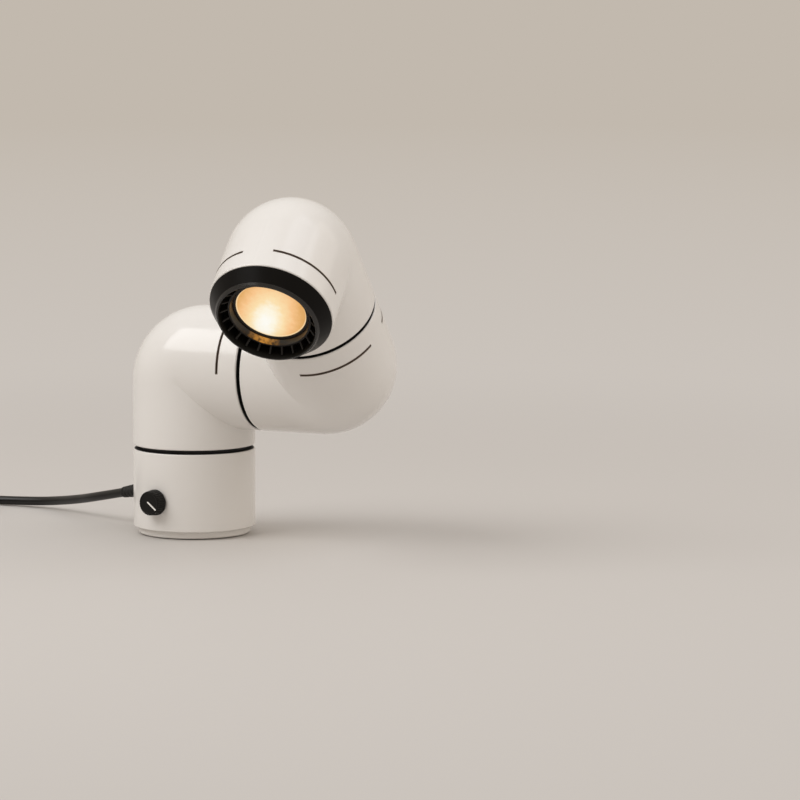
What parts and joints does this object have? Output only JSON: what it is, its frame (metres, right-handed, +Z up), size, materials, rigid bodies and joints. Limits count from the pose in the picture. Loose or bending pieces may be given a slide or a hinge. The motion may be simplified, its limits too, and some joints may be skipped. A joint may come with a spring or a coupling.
{
  "type": "jointed table lamp",
  "caption": "Table lamp of fat tube elbows that swivel on a weighted round base, with a reflector lamp in a black vaned bezel, a dimmer knob and a mains cord.",
  "frame": {"origin": "middle of the anti-slip pad's underside, on the table", "axes": "+Z up along the base swivel; +X to the right and +Y away as the picture sees the lamp at rest"},
  "size_m": [0.4109, 0.3285, 0.2395],
  "materials": {
    "white_abs": "gloss moulded ABS",
    "black_plastic": "satin moulded",
    "black_rubber": "matt",
    "cord_pvc": "satin PVC sheath",
    "washer_nylon": "matt",
    "steel": "zinc plated",
    "plated_metal": "satin die casting",
    "cast_iron": "raw casting",
    "brass": "plain",
    "pointer_white": "filled line",
    "ceramic": "steatite",
    "lamp_glass": "clear, lit",
    "reflector": "mirror coated glass"
  },
  "bodies": {
    "base": {"base_shell": "white_abs", "bottom_cover": "white_abs", "anti_slip_pad": "black_rubber", "cover_screws": "steel", "ballast_weight": "cast_iron", "dimmer_body": "plated_metal", "dimmer_nut": "plated_metal", "terminal_block": "ceramic", "cord_clamp": "black_plastic", "clamp_screws": "steel", "inner_cord": "cord_pvc", "cord_grommet": "black_rubber", "cord_lead": "cord_pvc", "cord_coil": "cord_pvc", "cord_end": "cord_pvc", "cord_tie": "black_plastic", "plug_body": "black_plastic", "plug_pins": "brass", "base_friction_washer": "washer_nylon", "base_disc_spring": "steel", "base_stop_pin": "steel"},
    "knob": {"dimmer_shaft": "plated_metal", "dimmer_knob": "black_plastic", "knob_pointer": "pointer_white"},
    "lower_arm": {"base_pivot": "plated_metal", "base_pivot_screws": "steel", "base_stop_plate": "steel", "base_pivot_nut": "plated_metal", "lower_elbow": "white_abs", "arm_friction_washer": "washer_nylon", "arm_disc_spring": "steel", "arm_stop_pin": "steel"},
    "middle_arm": {"arm_pivot": "plated_metal", "arm_pivot_screws": "steel", "arm_stop_plate": "steel", "arm_pivot_nut": "plated_metal", "middle_elbow": "white_abs", "head_friction_washer": "washer_nylon", "head_disc_spring": "steel", "head_stop_pin": "steel"},
    "head": {"head_pivot": "plated_metal", "head_pivot_screws": "steel", "head_stop_plate": "steel", "head_pivot_nut": "plated_metal", "head_elbow": "white_abs", "bezel_ring": "black_plastic", "vane_ring": "black_plastic", "lamp_retaining_ring": "black_plastic", "lamp_front_glass": "lamp_glass", "lamp_reflector": "reflector", "lamp_capsule": "lamp_glass", "lamp_base": "ceramic", "lamp_holder": "ceramic", "holder_bracket": "steel", "carrier_screws": "steel"}
  },
  "joints": [
    {"name": "base_swivel", "type": "hinge", "parent": "base", "child": "lower_arm", "pos_m": [0, 0, 0.0603], "axis": [0, 0, 1], "range_deg": [-165, 165]},
    {"name": "arm_swivel", "type": "hinge", "parent": "lower_arm", "child": "middle_arm", "pos_m": [0, 0, 0.1158], "axis": [0.8957, -0.4446, 0], "range_deg": [-139.3, 60.7]},
    {"name": "head_swivel", "type": "hinge", "parent": "middle_arm", "child": "head", "pos_m": [0.09942, -0.04936, 0.1158], "axis": [-0.2816, -0.5673, 0.7738], "range_deg": [-81.5, 248.5]},
    {"name": "knob_turn", "type": "hinge", "parent": "base", "child": "knob", "pos_m": [-0.02504, -0.03372, 0.0255], "axis": [-0.5962, -0.8028, 0], "range_deg": [-24, 276]}
  ]
}
